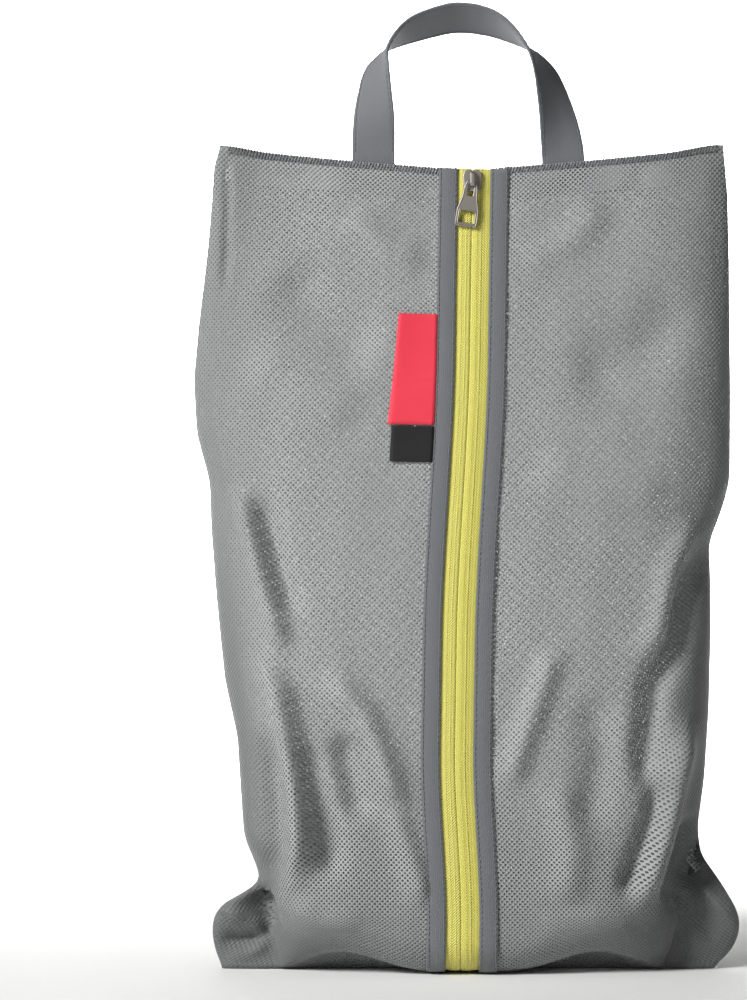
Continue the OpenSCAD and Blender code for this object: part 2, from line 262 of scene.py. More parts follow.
def fold(x, z, line, width, height):
    """Height of a soft ridge or groove along a line of [x, z] points. It fades out at both ends."""
    line = np.array(line, float)
    lengths = np.hypot(*np.diff(line, axis=0).T)
    best = np.full(x.shape, 1e9)
    along = np.zeros(x.shape)
    run = 0.0
    for p, q, length in zip(line, line[1:], lengths):
        t = np.clip(((x - p[0]) * (q[0] - p[0]) + (z - p[1]) * (q[1] - p[1])) / length ** 2, 0, 1)
        far = np.hypot(x - mix(p[0], q[0], t), z - mix(p[1], q[1], t))
        along = np.where(far < best, (run + t * length) / lengths.sum(), along)
        best = np.minimum(far, best)
        run += length
    fade = step(0, 0.25, np.minimum(along, 1 - along))
    return height * fade * np.exp(-(best / width) ** 2)


def ripple(x, z):
    """Small uneven waves of limp cloth."""
    return (0.55 * np.sin(x / 13 + 1.7 * np.sin(z / 37)) * np.sin(z / 29 + 1)
            + 0.35 * np.sin(x / 6.1 + z / 17) * np.sin(z / 11 - x / 23))


left_folds = [
    ([[-113, 238], [-105, 214], [-100, 193], [-93, 169], [-90, 150]], 5, 5),
    ([[-104, 236], [-97, 212], [-92, 192], [-84, 168]], 6, -3.5),
    ([[-104, 158], [-91, 135], [-86, 112], [-82, 85], [-80.5, 62], [-85, 36]], 5.5, 7),
    ([[-84, 120], [-77, 96], [-70, 70], [-66, 44]], 6, -5),
    ([[-98, 120], [-96, 90], [-95, 60], [-97, 34]], 6, -4),
    ([[-70, 150], [-59, 134], [-51, 125], [-41, 100], [-31, 74]], 7, 4),
    ([[-62, 118], [-56, 96], [-52, 72]], 8, -4),
    ([[-38, 84], [-28, 56], [-20, 30]], 6, 2.5),
    ([[-117.5, 405], [-118, 366], [-119, 326]], 1.6, -1.4),
    ([[-90, 345], [-70, 318], [-40, 300]], 14, -2.5),
    ([[-60, 372], [-40, 352], [-18, 345]], 8, 1.6),
    ([[-110, 300], [-80, 282], [-50, 268]], 12, 2),
    ([[-102, 40], [-97, 28], [-94, 16]], 4.5, -2.5),
    ([[-98, 18], [-108, 24], [-121, 30]], 2.4, 2.2),
    ([[-98, 16], [-110, 14], [-124, 14]], 2.4, -2),
    ([[-97, 12], [-108, 6], [-119, 4]], 2.4, 1.8),
    ([[-88, 34], [-72, 24], [-50, 22]], 5, 2.5),
]
right_folds = [
    ([[119, 212], [107, 186], [102, 161], [90, 140], [86, 112], [86, 80]], 6, -6),
    ([[112, 224], [98, 196], [93, 168], [82, 148]], 6, 3),
    ([[108, 128], [101, 100], [92, 66], [79, 26]], 6, 5.5),
    ([[96, 98], [89, 72], [73, 34]], 5, -6),
    ([[112, 78], [104, 48], [96, 26]], 5.5, -7),
    ([[17, 86], [28, 118], [39, 149], [52, 158]], 6, 3.5),
    ([[60, 140], [64, 104], [56, 66]], 10, -3),
    ([[44, 96], [50, 60], [46, 30]], 8, 2.5),
    ([[110, 330], [84, 300], [50, 286]], 14, -2.5),
    ([[70, 376], [46, 352], [22, 344]], 8, 1.6),
    ([[30, 250], [64, 236], [100, 232]], 12, 2),
    ([[103, 40], [112, 26], [122, 12]], 3.5, -1.5),
    ([[112, 44], [122, 32], [131, 22]], 3, 2),
    ([[30, 22], [60, 26], [84, 20]], 5, 2.5),
]


def draped(grid, folds, outward):
    """Pushes a panel's points out along their normals by its folds and ripples, less towards its edges."""
    points = grid[:, :, :3]
    across = np.gradient(points, axis=1)
    along = np.gradient(points, axis=0)
    normal = np.cross(across, along)
    normal /= np.linalg.norm(normal, axis=2, keepdims=True) + 1e-9
    normal *= np.sign((normal[:, :, 1] * outward).mean())
    x, z = points[:, :, 0], points[:, :, 2]
    height = ripple(x, z)
    for line, width, size in folds:
        height = height + 1.65 * fold(x, z, line, width, size)
    share = grid[:, :, 3] / grid[:, -1:, 3]
    hold = step(0, 0.06, share) * (1 - step(0.9, 1, share))
    hold = hold * step(0, 14, BAG_H - dip(x, BAG_H) - z) * step(0, 12, z)
    return points + normal * (height * hold)[:, :, None]


def hole_pattern(tree, tangle, hole, yarn):
    """The knit's relief, its cover from its holes to its yarn, and its painted shade. cloth's third number
    closes the holes where the knit bunches up and darkens it there as painted shade; the holes are painted
    darker too."""
    flat = add(tree, "ShaderNodeAttribute", {}, attribute_name="cloth").node.outputs["Vector"]
    noise = add(tree, "ShaderNodeTexNoise", {"Vector": flat, "Scale": 0.04}).node.outputs["Color"]
    loose = add(tree, "ShaderNodeVectorMath", {0: noise, 1: (tangle, tangle, 0)}, operation="MULTIPLY")
    place = add(tree, "ShaderNodeVectorMath", {0: flat, 1: loose}, operation="ADD")
    parts = add(tree, "ShaderNodeSeparateXYZ", {0: place}).node.outputs
    waves = []
    for k in (0, 1):
        turns = add(tree, "ShaderNodeMath", {0: parts[k], 1: 2 * math.pi / CELL[k]}, operation="MULTIPLY")
        waves.append(add(tree, "ShaderNodeMath", {0: turns}, operation="COSINE"))
    lattice = add(tree, "ShaderNodeMath", {0: waves[0], 1: waves[1]}, operation="MULTIPLY")
    tight = add(tree, "ShaderNodeMath", {0: parts[2], 1: -0.8, 2: lattice}, operation="MULTIPLY_ADD")
    open_share = add(tree, "ShaderNodeMapRange", {"Value": tight, "From Min": 0.16, "From Max": 0.36})
    cover = add(tree, "ShaderNodeMath", {0: open_share, 1: hole - yarn, 2: yarn}, operation="MULTIPLY_ADD")
    # Painted shade: the colour falls to 0.36 where cloth's third number is 1, at the bunched-up sides and
    # bottom, which lie in shade.
    painted_slack_shade = add(tree, "ShaderNodeMapRange", {"Value": parts[2], "To Min": 1.0, "To Max": 0.36})
    # Painted shade in the holes: their colour falls to 0.45 of the yarn's.
    painted_hole_shade = add(tree, "ShaderNodeMath", {0: open_share, 1: -0.55, 2: 1.0}, operation="MULTIPLY_ADD")
    shade = add(tree, "ShaderNodeMath", {0: painted_slack_shade, 1: painted_hole_shade}, operation="MULTIPLY")
    return lattice, cover, shade


def tricot(name, colour, hole, yarn):
    """Knitted mesh, with painted shade: darker where it bunches up than where it is stretched open, and
    darker in its holes.
    """
    made = material(name, colour, Roughness=0.62, Sheen_Weight=0.25, Sheen_Roughness=0.4, IOR=1.46)
    tree = made.node_tree
    shader = tree.nodes["Principled BSDF"]
    lattice, cover, shade = hole_pattern(tree, 0.8, hole, yarn)
    # Base colour: the yarn's colour times the painted shade.
    tone = add(tree, "ShaderNodeVectorMath", {0: linear(colour)[:3], "Scale": shade}, operation="SCALE")
    tree.links.new(tone, shader.inputs["Base Color"])
    relief = add(tree, "ShaderNodeMath", {0: lattice, 1: -1.0}, operation="MULTIPLY")
    bump = add(tree, "ShaderNodeBump", {"Height": relief, "Distance": 0.0003, "Strength": 0.6})
    tree.links.new(cover, shader.inputs["Alpha"])
    tree.links.new(bump, shader.inputs["Normal"])
    return made


# Warp knitted polyester, dyed grey: matt yarn with a faint sheen, round holes. The back panel's holes are
# drawn nearly closed, so that the bright backdrop doesn't sparkle through two layers. The back panel is the
# same cloth, given a darker colour as painted shade for the inside of the bag.
polyester_mesh = tricot("polyester tricot mesh", "#959797", 0.14, 0.98)
painted_shade_back_mesh = tricot("polyester tricot mesh, back, painted shade", "#636567", 0.94, 0.985)


def slack_and_shade(points, share):
    """How far the knit has closed up, from 0 where the cloth is taut to 1 where it bunches up at the sides
    and the bottom. The mesh is painted darker there as shade.
    """
    x, z = points[:, :, 0], points[:, :, 2]
    side = step(0.62, 0.9, share) * (0.55 + 0.35 * (1 - step(120, 240, z)))
    low = (1 - step(14, 52, z)) * (0.45 + 0.5 * step(40, 95, np.abs(x)))
    return np.clip(np.maximum(side, low), 0, 1)


def opening(z):
    """Share of the zip's opening that the cloth follows at a height. Both ends are sewn shut."""
    return step(36, 150, z) * (1 - step(325, 388, z))


def follow_edge(obj, across=None):
    """Bakes a piece's place into its mesh and works out a weight from the zip's opening at each point, faded
    by across from the zip to the side seam. The weight moves nothing.
    """
    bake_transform(obj)
    points = np.array([v.co for v in obj.data.vertices]) * 1000
    weight = opening(points[:, 2])
    if across is not None:
        weight = weight * (1 - step(0, 1, across))


FRONT_EDGE = 11.5
front_rows = rows_of(True)
down_cloth = np.concatenate([[0], np.cumsum(np.hypot(*np.diff(front_rows[:, :2], axis=0).T))])
for side, word, folds in ((-1, "left", left_folds), (1, "right", right_folds)):
    grid = panel(side, front_rows, FRONT_EDGE, True, 64)
    points = draped(grid, folds, -1)
    lift = 10 * np.exp(-((np.abs(points[:, :, 0]) - 62) / 26) ** 2) * (1 - step(6, 30, points[:, :, 2]))
    points[:, :, 2] += lift * step(-10, -24, points[:, :, 1])
    share = grid[:, :, 3] / grid[:, -1:, 3]
    cloth = np.stack([grid[:, :, 3] * side, np.repeat(down_cloth[:, None], 64, 1), slack_and_shade(points, share)], 2)
    half = piece(f"front_panel_{word}_mesh", points.reshape(-1, 3), grid_faces(*grid.shape[:2]),
                 polyester_mesh, cloth.reshape(-1, 3))
    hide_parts(f"front_panel_{word}")
    follow_edge(half, share.ravel())

back_rows = rows_of(False)
down_cloth = np.concatenate([[0], np.cumsum(np.hypot(*np.diff(back_rows[:, :2], axis=0).T))])
halves = []
for side in (-1, 1):
    grid = panel(side, back_rows, 0, False, 70)
    points = grid[:, :, :3]
    halves.append(np.concatenate([points, grid[:, :, 3:] * side], 2))
whole = np.concatenate([halves[0][:, ::-1], halves[1][:, 1:]], 1)
wave = ripple(whole[:, :, 0] * 0.8, whole[:, :, 2] + 40)
whole[:, :, 1] += 1.5 * wave * step(0, 30, 395 - whole[:, :, 2]) * (1 - step(90, 118, np.abs(whole[:, :, 0])))
share = np.abs(whole[:, :, 3]) / np.abs(whole[:, -1:, 3])
bias = math.radians(22)      # drawn off the front's grain, so that the two lattices don't beat
down = np.repeat(down_cloth[:, None], whole.shape[1], 1)
cloth = np.stack([whole[:, :, 3] * math.cos(bias) - down * math.sin(bias),
                  whole[:, :, 3] * math.sin(bias) + down * math.cos(bias), slack_and_shade(whole, share)], 2)
back = piece("back_panel_mesh", whole[:, :, :3].reshape(-1, 3), grid_faces(*whole.shape[:2]), painted_shade_back_mesh,
             cloth.reshape(-1, 3))
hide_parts("back_panel")
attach(back, "bag")


# Top hem: the cloth's upper 17 mm is folded to the inside, a second layer that makes a denser band, and an
# overlock in grey polyester thread wraps the top edge.
for side, word, rows, front in ((-1, "left", front_rows, True), (1, "right", front_rows, True),
                                (0, "back", back_rows, False)):
    band = rows[(rows[:, 1] < 399.5) & (rows[:, 1] > 382)]
    if front:
        grid = panel(side, band, FRONT_EDGE + 1, True, 54, 0.985)
        points = grid[:, :, :3] + (0, 0.4, 0)
        across = grid[:, :, 3] * side
    else:
        sides = [panel(s, band, 0, False, 54, 0.985) for s in (-1, 1)]
        points = np.concatenate([sides[0][:, ::-1, :3], sides[1][:, 1:, :3]], 1) + (0, -0.45, 0)
        across = np.concatenate([-sides[0][:, ::-1, 3], sides[1][:, 1:, 3]], 1)
    cloth = np.stack([across + 0.9, -points[:, :, 2] + 0.4, across * 0], 2)
    hem = piece(f"top_hem_{word}_mesh", points.reshape(-1, 3), grid_faces(*points.shape[:2]), polyester_mesh,
                cloth.reshape(-1, 3))
    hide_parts(f"top_hem_{word}")
    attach(hem, "bag")


def threads(name, starts, ends, normals, surface, radius=0.24, rise=0.25):
    """Row of stitches, each a short raised length of thread from a start to an end."""
    starts, ends, normals = (np.asarray(v, float) for v in (starts, ends, normals))
    around = 6
    stations = np.array([0, 0.15, 0.5, 0.85, 1])
    high = np.array([-0.6, 0.5, 1, 0.5, -0.6]) * rise
    wide = np.array([0.5, 0.95, 1, 0.95, 0.5]) * radius
    run = ends - starts
    cross = np.cross(run, normals)
    cross /= np.linalg.norm(cross, axis=1, keepdims=True)
    centre = starts[:, None] + run[:, None] * stations[None, :, None] + normals[:, None] * high[None, :, None]
    a = np.arange(around) * 2 * math.pi / around
    ring = (cross[:, None, None] * np.cos(a)[None, None, :, None]
            + normals[:, None, None] * np.sin(a)[None, None, :, None]) * wide[None, :, None, None]
    points = centre[:, :, None] + ring
    one = grid_faces(len(stations), around, True) + [tuple(range(around))[::-1],
                                                      tuple(range(around * 4, around * 5))]
    size = around * len(stations)
    faces = [tuple(v + size * i for v in f) for i in range(len(starts)) for f in one]
    return piece(name, points.reshape(-1, 3), faces, surface)


# Spun polyester: matt and slightly hairy, a shade darker than the mesh.
polyester_thread = material("spun polyester thread, grey", "#66686B", Roughness=0.55, Sheen_Weight=0.2)
x = np.arange(-117, 123, 1.5)
x = x[np.abs(x - 2.5) > 10]
top = BAG_H - dip(x, 400)
front_low = np.stack([x - 1.2, plane_y(top) - 0.35, top - 3.4], 1)
front_top = np.stack([x + 0.4, plane_y(top) + 0.1, top], 1)
back_top = np.stack([x + 0.6, x * 0 + TOP_Y + 1.6, top], 1)
back_low = np.stack([x + 1.2, x * 0 + TOP_Y + 2.2, top - 3.2], 1)
outward = np.tile([0, -1, 0], (len(x), 1))
overlock = threads("top_overlock_thread", np.concatenate([front_low, front_top, back_top]),
                   np.concatenate([front_top, back_top, back_low]),
                   np.concatenate([outward, outward * 0 + (0, 0, 1), -outward]), polyester_thread, 0.34, 0.12)
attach(overlock, "bag")


# Side seams: inside the bag the two layers of mesh stand as an 8 mm allowance, overlocked along its edge.
for side, word, table in ((-1, "left", left_side), (1, "right", right_side)):
    z = np.linspace(393, 44, 150)
    outer = outline(z, table) - 1.2
    y = seam_y(z)
    points = np.stack([np.stack([side * (outer - 8 * k), y + 0.3 * math.sin(7 * k), z], 1)
                       for k in (0, 0.25, 0.5, 0.75, 1)], 1)
    cloth = np.stack([points[:, :, 0], -points[:, :, 2] + 0.7, points[:, :, 0] * 0], 2)
    seam = piece(f"side_seam_{word}_mesh", points.reshape(-1, 3), grid_faces(150, 5), polyester_mesh,
                 cloth.reshape(-1, 3))
    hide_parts(f"side_seam_{word}")
    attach(seam, "bag")
    z = np.arange(46, 391, 2.4)
    outer = outline(z, table) - 1.2
    y = seam_y(z)
    near = np.stack([side * (outer - 3.4), y - 0.3, z], 1)
    far = np.stack([side * (outer - 7.4), y - 0.2, z + 1.6], 1)
    outward = np.tile([0, -1, 0], (len(z), 1))
    edge = threads(f"side_overlock_thread_{word}", np.concatenate([near, far]),
                   np.concatenate([far, near + (0, 0, 2.4)]), np.concatenate([outward, outward]),
                   polyester_thread, 0.28, 0.15)
    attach(edge, "bag")


# Woven goods share one relief: ribs across and along, on the flat cloth's own millimetres.
def woven(name, colour, ribs, depth, slant=0.0, **values):
    """Woven cloth. ribs are the rib spacings across and along in millimetres, slant makes it a twill."""
    made = material(name, colour, **({"Sheen_Weight": 0.2, "Sheen_Roughness": 0.4, "IOR": 1.46} | values))
    tree = made.node_tree
    shader = tree.nodes["Principled BSDF"]
    flat = add(tree, "ShaderNodeAttribute", {}, attribute_name="cloth").node.outputs["Vector"]
    parts = add(tree, "ShaderNodeSeparateXYZ", {0: flat}).node.outputs
    size = add(tree, "ShaderNodeMath", {0: parts[0]}, operation="ABSOLUTE")
    slid = add(tree, "ShaderNodeMath", {0: size, 1: slant, 2: parts[1]}, operation="MULTIPLY_ADD")
    heights = []
    for value, rib in ((parts[0], ribs[0]), (slid, ribs[1])):
        turns = add(tree, "ShaderNodeMath", {0: value, 1: 2 * math.pi / rib}, operation="MULTIPLY")
        heights.append(add(tree, "ShaderNodeMath", {0: turns}, operation="SINE"))
    weave = add(tree, "ShaderNodeMath", {0: heights[0], 1: 0.3, 2: heights[1]}, operation="MULTIPLY_ADD")
    bump = add(tree, "ShaderNodeBump", {"Height": weave, "Distance": depth * 0.001, "Strength": 0.8})
    tree.links.new(bump, shader.inputs["Normal"])
    # Painted shade and highlight: the base colour is darker in the hollows of the ribs and lighter on their
    # crests.
    shade = add(tree, "ShaderNodeMapRange", {"Value": weave, "From Min": -1.4, "From Max": 1.4,
                                             "To Min": 0.82, "To Max": 1.08})
    tone = add(tree, "ShaderNodeVectorMath", {0: linear(colour)[:3], "Scale": shade}, operation="SCALE")
    tree.links.new(tone, shader.inputs["Base Color"])
    return made


# Bottom seam: the two panels are joined under the bag and the seam is covered with a woven tape.
# Plain woven polyester tape, blue grey. Its ribs are drawn wider than the real ones, so that they show.
woven_binding = woven("woven polyester binding", "#6E7174", (0.9, 0.7), 0.12, 0.5, Roughness=0.7)
along = np.linspace(-117, 117, 118)
section = [(-4, 0.4), (-3.6, 1.0), (0, 1.15), (3.6, 1.0), (4, 0.4), (3.6, 0.1), (0, 0.05), (-3.6, 0.1)]
points = [[x, -8 + y, z] for x in along for y, z in section]
cloth = [[y, x, 0] for x in along for y, z in section]
bottom = piece("bottom_seam_tape", points, grid_faces(118, 8, True) + [(0, 1, 2, 3, 4, 5, 6, 7)[::-1],
               tuple(range(117 * 8, 118 * 8))], woven_binding, cloth)
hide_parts("bottom_seam")
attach(bottom, "bag")


# Bindings: a woven strip, folded lengthwise, covers each front half's raw edge beside the zip. Two rows of
# topstitching hold mesh, strip and zip tape together.
zip_turn = np.array(Matrix.Rotation(math.radians(-5.5), 3, "X") @ Matrix.Rotation(math.radians(1), 3, "Y"))
ZIP_LOW = -425


def on_zip(points):
    """Places points in the zip's frame: x across, y inwards from the tape's outer face, z up from the top.
    Below the front face the zip turns under the bag, along an arc and then flat to the bottom seam."""
    points = np.asarray(points, float)
    bend, radius, start = -384.3, 14.8, math.radians(-5.5)
    past = np.clip(bend - points[:, 2], 0, None)
    a = np.minimum(start + past / radius, math.pi / 2)
    flat = np.clip(past - radius * (math.pi / 2 - start), 0, None)
    held = np.stack([points[:, 0], points[:, 1] * (past == 0), np.maximum(points[:, 2], bend)], 1)
    placed = held @ zip_turn.T + (2.5, -8, BAG_H)
    under = past > 0
    placed[:, 1] += under * (radius * (math.cos(start) - np.cos(a)) + flat + points[:, 1] * np.cos(a))
    placed[:, 2] += under * (radius * (math.sin(start) - np.sin(a)) + points[:, 1] * np.sin(a))
    placed[:, 0] -= bow(placed[:, 2])
    return placed


def zip_strip(name, section, surface, part=0.0):
    """Sweeps a closed section of [x, y] along the zip. part moves its inner edge out beside the slider."""
    z = np.linspace(-8.8, ZIP_LOW, 170)
    points = np.array([[(x, y, h) for x, y in section] for h in z]).reshape(-1, 3)
    points[:, 0] += np.sign(points[:, 0]) * part * (np.abs(points[:, 0]) < 1.3) * step(-24, -15, points[:, 2])
    n = len(section)
    caps = [tuple(range(n))[::-1], tuple(range(n * (len(z) - 1), n * len(z)))]
    return piece(name, on_zip(points), grid_faces(len(z), n, True) + caps, surface,
                 np.stack([points[:, 0], points[:, 2], points[:, 0] * 0], 1))


def stitch_row(name, x, y, length, space, surface, radius=0.22, rise=0.2, slant=0.0):
    """Stitches along the zip at x, lying on the surface at y."""
    z = np.arange(ZIP_LOW + 2, -9.5, length + space)
    starts = on_zip(np.stack([z * 0 + x, z * 0 + y, z], 1))
    ends = on_zip(np.stack([z * 0 + x + slant, z * 0 + y, z + length], 1))
    normals = np.tile(zip_turn @ (0, -1, 0), (len(z), 1))
    return threads(name, starts, ends, normals, surface, radius, rise)


binding_thread = material("spun polyester thread, blue grey", "#5D6064", Roughness=0.5, Sheen_Weight=0.2)
for side, word, inner, outer in ((-1, "left", 7.3, 16.5), (1, "right", 8.8, 17.8)):
    half = [(0, -0.5), (0.1, -0.82), (0.5, -0.98), (1.0, -0.86), (1.6, -1.0), (5, -1.1), (8.3, -1.0),
            (8.9, -0.86), (9.5, -0.98), (9.9, -0.82), (10, -0.5), (9.8, -0.15), (5, -0.1), (0.2, -0.15)]
    half = [(inner + x * (outer - inner) / 10, y) for x, y in half]
    strip = zip_strip(f"binding_{word}_strip", [(side * x, y) for x, y in half][::side], woven_binding)
    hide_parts(f"binding_{word}")
    follow_edge(strip)
    for row, x in (("inner", inner + 1), ("outer", outer - 1)):
        stitches = stitch_row(f"binding_thread_{row}_{word}", side * x, -0.93, 2.2, 0.5, binding_thread,
                              0.28, 0.22)
        follow_edge(stitches)


# Zip: lime knitted tape whose folded edge rounds over a nylon coil sewn on the inside with a chain of lime
# thread, so the front shows two convex halves that meet in a fine slit.
# Dyed polyester tape in a herringbone knit, drawn coarser than the real one so that it shows. The coil is
# nylon, smoother and glossier.
lime_tape = woven("knitted polyester zip tape, lime", "#D2CB63", (1.4, 1.3), 0.14, 1.0, Roughness=0.6)
lime_thread = material("polyester zip thread, lime", "#D2CC6E", Roughness=0.5, Sheen_Weight=0.2)
lime_nylon = material("nylon coil, lime", "#D8D06A", Roughness=0.35, IOR=1.53)
for side, word in ((-1, "left"), (1, "right")):
    face = [(11, 0.25), (7.4, 0.2), (6.2, 0.08), (5.0, -0.08), (3.8, -0.2), (2.6, -0.25), (1.2, -0.22),
            (0.5, -0.1), (0.2, 0.1), (0.03, 0.4), (0.03, 0.75), (1.6, 0.6), (3.4, 0.45), (5.4, 0.75),
            (11, 0.78)]
    tape = zip_strip(f"zip_tape_{word}_knit", [(side * x, y) for x, y in face][::side], lime_tape, 0.4)
    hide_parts(f"zip_tape_{word}")
    follow_edge(tape)
    for row, x in (("inner", 2.4), ("outer", 4.5)):
        chain = stitch_row(f"zip_thread_{row}_{word}", side * x, -0.2, 0.85, 0.5, lime_thread, 0.24, 0.16,
                           side * 0.3)
        follow_edge(chain)
    pitch = 1.27
    turns = 296
    around, steps = 5, 12
    t = np.arange(turns * steps) / steps
    a = t * 2 * math.pi
    middle = np.stack([side * (1.75 - 0.95 * np.cos(a)), 1.95 + 0.9 * np.sin(a),
                       -386 + pitch * (t + 0.5 * (side > 0))], 1)
    run = np.gradient(middle, axis=0)
    run /= np.linalg.norm(run, axis=1, keepdims=True)
    first = np.cross(run, (0, 0, 1))
    first /= np.linalg.norm(first, axis=1, keepdims=True)
    second = np.cross(run, first)
    b = np.arange(around) * 2 * math.pi / around
    points = middle[:, None] + 0.3 * (first[:, None] * np.cos(b)[None, :, None]
                                      + second[:, None] * np.sin(b)[None, :, None])
    caps = [tuple(range(around)), tuple(range(around * (len(t) - 1), around * len(t)))[::-1]]
    coil = piece(f"zip_coil_{word}_nylon", on_zip(points.reshape(-1, 3)),
                 grid_faces(len(t), around, True) + caps, lime_nylon)
    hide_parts(f"zip_coil_{word}")
    follow_edge(coil)


# Slider: two zinc plates, die cast and nickel plated, with a post between them and a bridge on the outer one.
def rounded(corners, radius, steps=5):
    """Closed outline with each corner rounded off."""
    corners = np.array(corners, float)
    made = []
    for before, corner, after in zip(np.roll(corners, 1, 0), corners, np.roll(corners, -1, 0)):
        ends = []
        for other in (before, after):
            reach = np.linalg.norm(other - corner)
            ends.append(corner + (other - corner) * min(radius, reach * 0.45) / reach)
        for k in np.linspace(0, 1, steps):
            made.append((1 - k) ** 2 * ends[0] + 2 * k * (1 - k) * corner + k * k * ends[1])
    return made


def cast_plate(loops, near, far, bevel, filled=True):
    """Plate with rounded edges between depths near and far, as points [across, depth, up] and faces."""
    curve = bpy.data.curves.new("outline", "CURVE")
    curve.dimensions = "2D" if filled else "3D"
    curve.fill_mode = "BOTH" if filled else "FULL"
    curve.extrude = max(0, (far - near) / 2 - bevel) if filled else 0
    curve.bevel_depth = bevel
    curve.bevel_resolution = 3
    curve.offset = -bevel if filled else 0
    for loop in loops:
        spline = curve.splines.new("POLY")
        spline.points.add(len(loop) - 1)
        spline.points.foreach_set("co", [v for p in loop for v in (p[0], p[1], 0, 1)])
        spline.use_cyclic_u = True
    holder = bpy.data.objects.new("outline", curve)
    mesh = bpy.data.meshes.new_from_object(holder)
    points = np.array([v.co for v in mesh.vertices])
    faces = [tuple(f.vertices) for f in mesh.polygons]
    bpy.data.objects.remove(holder)
    return np.stack([points[:, 0], (near + far) / 2 - points[:, 2], points[:, 1]], 1), faces


def joined(parts):
    """One list of points and faces from several."""
    points, faces, count = [], [], 0
    for p, f in parts:
        points.append(p)
        faces += [tuple(v + count for v in face) for face in f]
        count += len(p)
    return np.concatenate(points), faces


# Tumbled nickel plating: a warm grey metal with soft, uneven gloss.
nickel = material("antique nickel plated zinc", "#A39E97", Metallic=1.0, Roughness=0.45)
tree = nickel.node_tree
smudge = add(tree, "ShaderNodeTexNoise", {"Scale": 380.0, "Detail": 3.0})
rough = add(tree, "ShaderNodeMapRange", {"Value": smudge, "To Min": 0.36, "To Max": 0.58})
tree.links.new(rough, tree.nodes["Principled BSDF"].inputs["Roughness"])
shield = rounded([(-3.9, -5.25), (3.9, -5.25), (4.3, -2.2), (4.9, 2.2), (4.1, 4.5), (2.6, 5.25), (-2.6, 5.25),
                  (-4.1, 4.5), (-4.9, 2.2), (-4.3, -2.2)], 1.2)
post = rounded([(-0.28, 1.7), (0.28, 1.7), (0.28, 4.8), (-0.28, 4.8)], 0.2)
walls = []
for side in (-1, 1):
    wall = [(side * 3.9, -5), (side * 3.0, -5), (side * 3.0, 2), (side * 3.9, 2)][::side]
    walls.append(cast_plate([rounded(wall, 0.3)], 1.4, 3.8, 0.15))
points, faces = joined([cast_plate([shield], -1.8, -0.5, 0.4), cast_plate([shield], 3.6, 4.9, 0.4),
                        cast_plate([post], -0.6, 3.7, 0.05)] + walls)
body = piece("slider_body_cast", on_zip(points + (0, 0, -15)), faces, nickel)
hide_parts("slider_body")
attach(body, "slider")
arch = rounded([(1.5, -3.3), (4.3, -3.3), (5.0, -2.2), (5.0, 2.9), (4.2, 4.05), (1.5, 4.05)], 1.0)
eye = rounded([(1.9, -2.3), (4.0, -2.3), (4.0, 3.0), (1.9, 3.0)], 0.8)
points, faces = cast_plate([arch, eye[::-1]], -1.1, 1.1, 0.3)
placed = np.stack([points[:, 1], -points[:, 0], points[:, 2] - 15], 1)
bridge = piece("slider_bridge_cast", on_zip(placed), faces, nickel)
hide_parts("slider_bridge")
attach(bridge, "slider")


# Pull: a cast tab whose upper bar hangs in the bridge. It widens to a rectangular window with a raised rim.
pull_outline = rounded([(-2.6, 0.8), (2.6, 0.8), (3.4, -3.0), (3.9, -7.5), (5.5, -12.8), (5.5, -20.5),
                        (-5.5, -20.5), (-5.5, -12.8), (-3.9, -7.5), (-3.4, -3.0)], 1.3)
slot = rounded([(-1.5, -0.8), (1.5, -0.8), (1.5, -6.2), (-1.5, -6.2)], 0.7)
window = rounded([(-3.8, -13.3), (3.8, -13.3), (3.8, -18.7), (-3.8, -18.7)], 0.8)
rims = [rounded([(-2.25, 0.4), (2.25, 0.4), (3.05, -3.1), (3.5, -7.6), (5.1, -12.9), (5.1, -20.1),
                 (-5.1, -20.1), (-5.1, -12.9), (-3.5, -7.6), (-3.05, -3.1)], 1.2),
        rounded([(-4.2, -12.9), (4.2, -12.9), (4.2, -19.1), (-4.2, -19.1)], 1.0)]
parts = [cast_plate([pull_outline, slot[::-1], window[::-1]], -0.6, 0.6, 0.3)]
parts += [cast_plate([rim], y, y, 0.32, False) for rim in rims for y in (-0.55, 0.55)]
points, faces = joined(parts)
hang = np.array(Matrix.Rotation(math.radians(3), 3, "X") @ Matrix.Rotation(math.radians(7.5), 3, "Y"))
pull = piece("pull_tab_cast", on_zip((points * (1, 1, 1.07)) @ hang.T + (-0.3, -2.9, -16.2)), faces, nickel)
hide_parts("pull_tab")
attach(pull, "pull")


# Handle: a 21 mm strap folded from polyester twill and stitched along both edges. Its ends are sewn between
# the hems, it lies flat there and turns over towards the top of its arch.
handle_stops = np.array([
    [-46.2, -10, -2], [-46.2, 1.2, -2], [-46.1, 14.5, -8], [-45.6, 32.5, -37], [-44.8, 41.5, -50],
    [-43.2, 47.5, -64], [-39, 55.5, -90], [-27, 64, -118], [-12, 69, -126], [-2, 70, -127], [9.5, 68, -122],
    [18.5, 63.7, -110], [27.5, 57, -90], [33, 51.5, -74], [37.5, 44, -58], [40.2, 37, -48], [43.6, 23.5, -32],
    [45.8, 11, -14], [46.8, 1.2, -2], [46.9, -10, -2]])


def curve_through(stops, count):
    """Smooth line through the stops, in even steps of its stops."""
    t = np.linspace(0, len(stops) - 1.001, count)
    i = t.astype(int)
    k = (t - i)[:, None]
    p = [stops[np.clip(i + d, 0, len(stops) - 1)] for d in (-1, 0, 1, 2)]
    return 0.5 * (2 * p[1] + (p[2] - p[0]) * k + (2 * p[0] - 5 * p[1] + 4 * p[2] - p[3]) * k ** 2
                  + (3 * p[1] - p[0] - 3 * p[2] + p[3]) * k ** 3)


